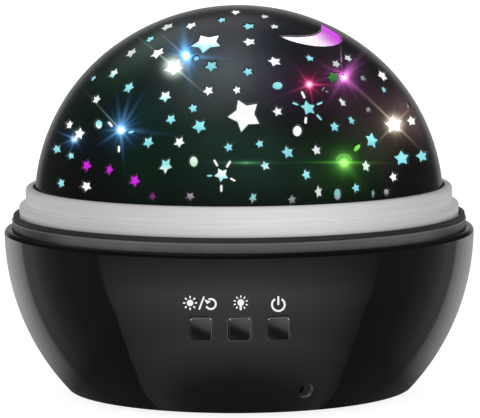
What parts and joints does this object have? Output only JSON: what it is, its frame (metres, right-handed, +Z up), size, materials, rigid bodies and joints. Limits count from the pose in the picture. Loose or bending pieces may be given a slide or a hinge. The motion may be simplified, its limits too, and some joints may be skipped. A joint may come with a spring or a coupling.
{
  "type": "star night light projector",
  "caption": "Domed bedside lamp: a glossy bowl base with a motor turntable spins a lift-off star-pierced dome over coloured lamps.",
  "frame": {"origin": "on the surface it stands on, at the centre of the feet, on the turntable's axis", "axes": "+Z up along the turntable's axis, -Y out of the button panel, +X to the right as the buttons are faced"},
  "size_m": [0.13, 0.13, 0.1069],
  "materials": {
    "gloss_black_abs": "polished moulded ABS",
    "satin_charcoal_abs": "fine satin moulded ABS",
    "satin_black_abs": "fine satin moulded ABS",
    "black_rubber": "matte rubber",
    "zinc_steel": "zinc plated",
    "cell_wrap": "printed shrink sleeve, plain",
    "spring_steel": "nickel plated",
    "green_fr4": "solder-resist green",
    "black_epoxy": "moulded epoxy",
    "white_pom": "natural acetal",
    "brass_gearbox": "brushed",
    "white_abs": "satin white ABS",
    "silver_paint": "silver-lacquered ABS, satin",
    "led_white": "clear epoxy",
    "led_red": "tinted epoxy",
    "led_green": "tinted epoxy",
    "led_blue": "tinted epoxy",
    "clear_ps": "clear polystyrene",
    "smoked_dome": "printed opaque black film under a clear gloss",
    "wire_white": "PVC",
    "wire_red": "PVC",
    "wire_black": "PVC"
  },
  "bodies": {
    "base": {"base_shell": "gloss_black_abs", "top_cover": "satin_charcoal_abs", "rim_cap": "satin_black_abs", "bottom_cover": "satin_black_abs", "rubber_feet": "black_rubber", "case_screws": "zinc_steel", "battery_cells": "cell_wrap", "battery_springs": "spring_steel", "battery_contacts": "spring_steel", "control_board": "green_fr4", "board_screws": "zinc_steel", "tact_switches": "black_epoxy", "driver_chip": "black_epoxy", "dc_socket": "black_epoxy", "dc_socket_pin": "spring_steel", "motor_can": "zinc_steel", "motor_gearbox": "brass_gearbox", "motor_bracket": "satin_black_abs", "bracket_screws": "zinc_steel", "idler_axle": "zinc_steel", "thrust_washer": "white_pom", "retaining_clip": "spring_steel", "led_board": "white_abs", "led_board_screws": "zinc_steel", "led_warm_white": "led_white", "led_red": "led_red", "led_green": "led_green", "led_blue": "led_blue", "lamp_leads": "wire_white", "motor_leads": "wire_red", "battery_leads": "wire_red", "socket_leads": "wire_black"},
    "turntable": {"silver_ring": "silver_paint", "turntable_disc": "white_abs", "turntable_gear": "white_pom", "turntable_screws": "zinc_steel"},
    "dome": {"dome_lens": "clear_ps", "star_mask": "smoked_dome"},
    "idler": {"idler_gear": "white_pom"},
    "pinion": {"motor_shaft": "zinc_steel", "motor_pinion": "white_pom"},
    "mode_key": {"mode_button": "gloss_black_abs", "mode_plunger": "white_pom"},
    "colour_key": {"colour_button": "gloss_black_abs", "colour_plunger": "white_pom"},
    "power_key": {"power_button": "gloss_black_abs", "power_plunger": "white_pom"},
    "battery_lid": {"battery_door": "satin_black_abs"}
  },
  "joints": [
    {"name": "turntable_spin", "type": "hinge", "parent": "base", "child": "turntable", "pos_m": [0, 0, 0.048], "axis": [0, 0, 1], "continuous": true},
    {"name": "dome_lift", "type": "slide", "parent": "turntable", "child": "dome", "axis": [0, 0, 1], "range_m": [0, 0.06]},
    {"name": "idler_spin", "type": "hinge", "parent": "base", "child": "idler", "pos_m": [0, 0.0288, 0.042], "axis": [0, 0, 1], "continuous": true},
    {"name": "pinion_spin", "type": "hinge", "parent": "base", "child": "pinion", "pos_m": [-0.01701, 0.03769, 0.04], "axis": [0, 0, 1], "continuous": true},
    {"name": "mode_press", "type": "slide", "parent": "base", "child": "mode_key", "axis": [0, 0.9542, 0.2992], "range_m": [0, 0.0007], "stiffness_N_per_m": 250},
    {"name": "colour_press", "type": "slide", "parent": "base", "child": "colour_key", "axis": [0, 0.9542, 0.2992], "range_m": [0, 0.0007], "stiffness_N_per_m": 250},
    {"name": "power_press", "type": "slide", "parent": "base", "child": "power_key", "axis": [0, 0.9542, 0.2992], "range_m": [0, 0.0007], "stiffness_N_per_m": 250},
    {"name": "battery_lid_hinge", "type": "hinge", "parent": "base", "child": "battery_lid", "pos_m": [0, 0.0248, 0.002], "axis": [1, 0, 0], "range_deg": [0, 75]}
  ],
  "couplings": [
    {"joint": "idler_spin", "follows": "turntable_spin", "ratio": -5},
    {"joint": "pinion_spin", "follows": "turntable_spin", "ratio": 15}
  ]
}
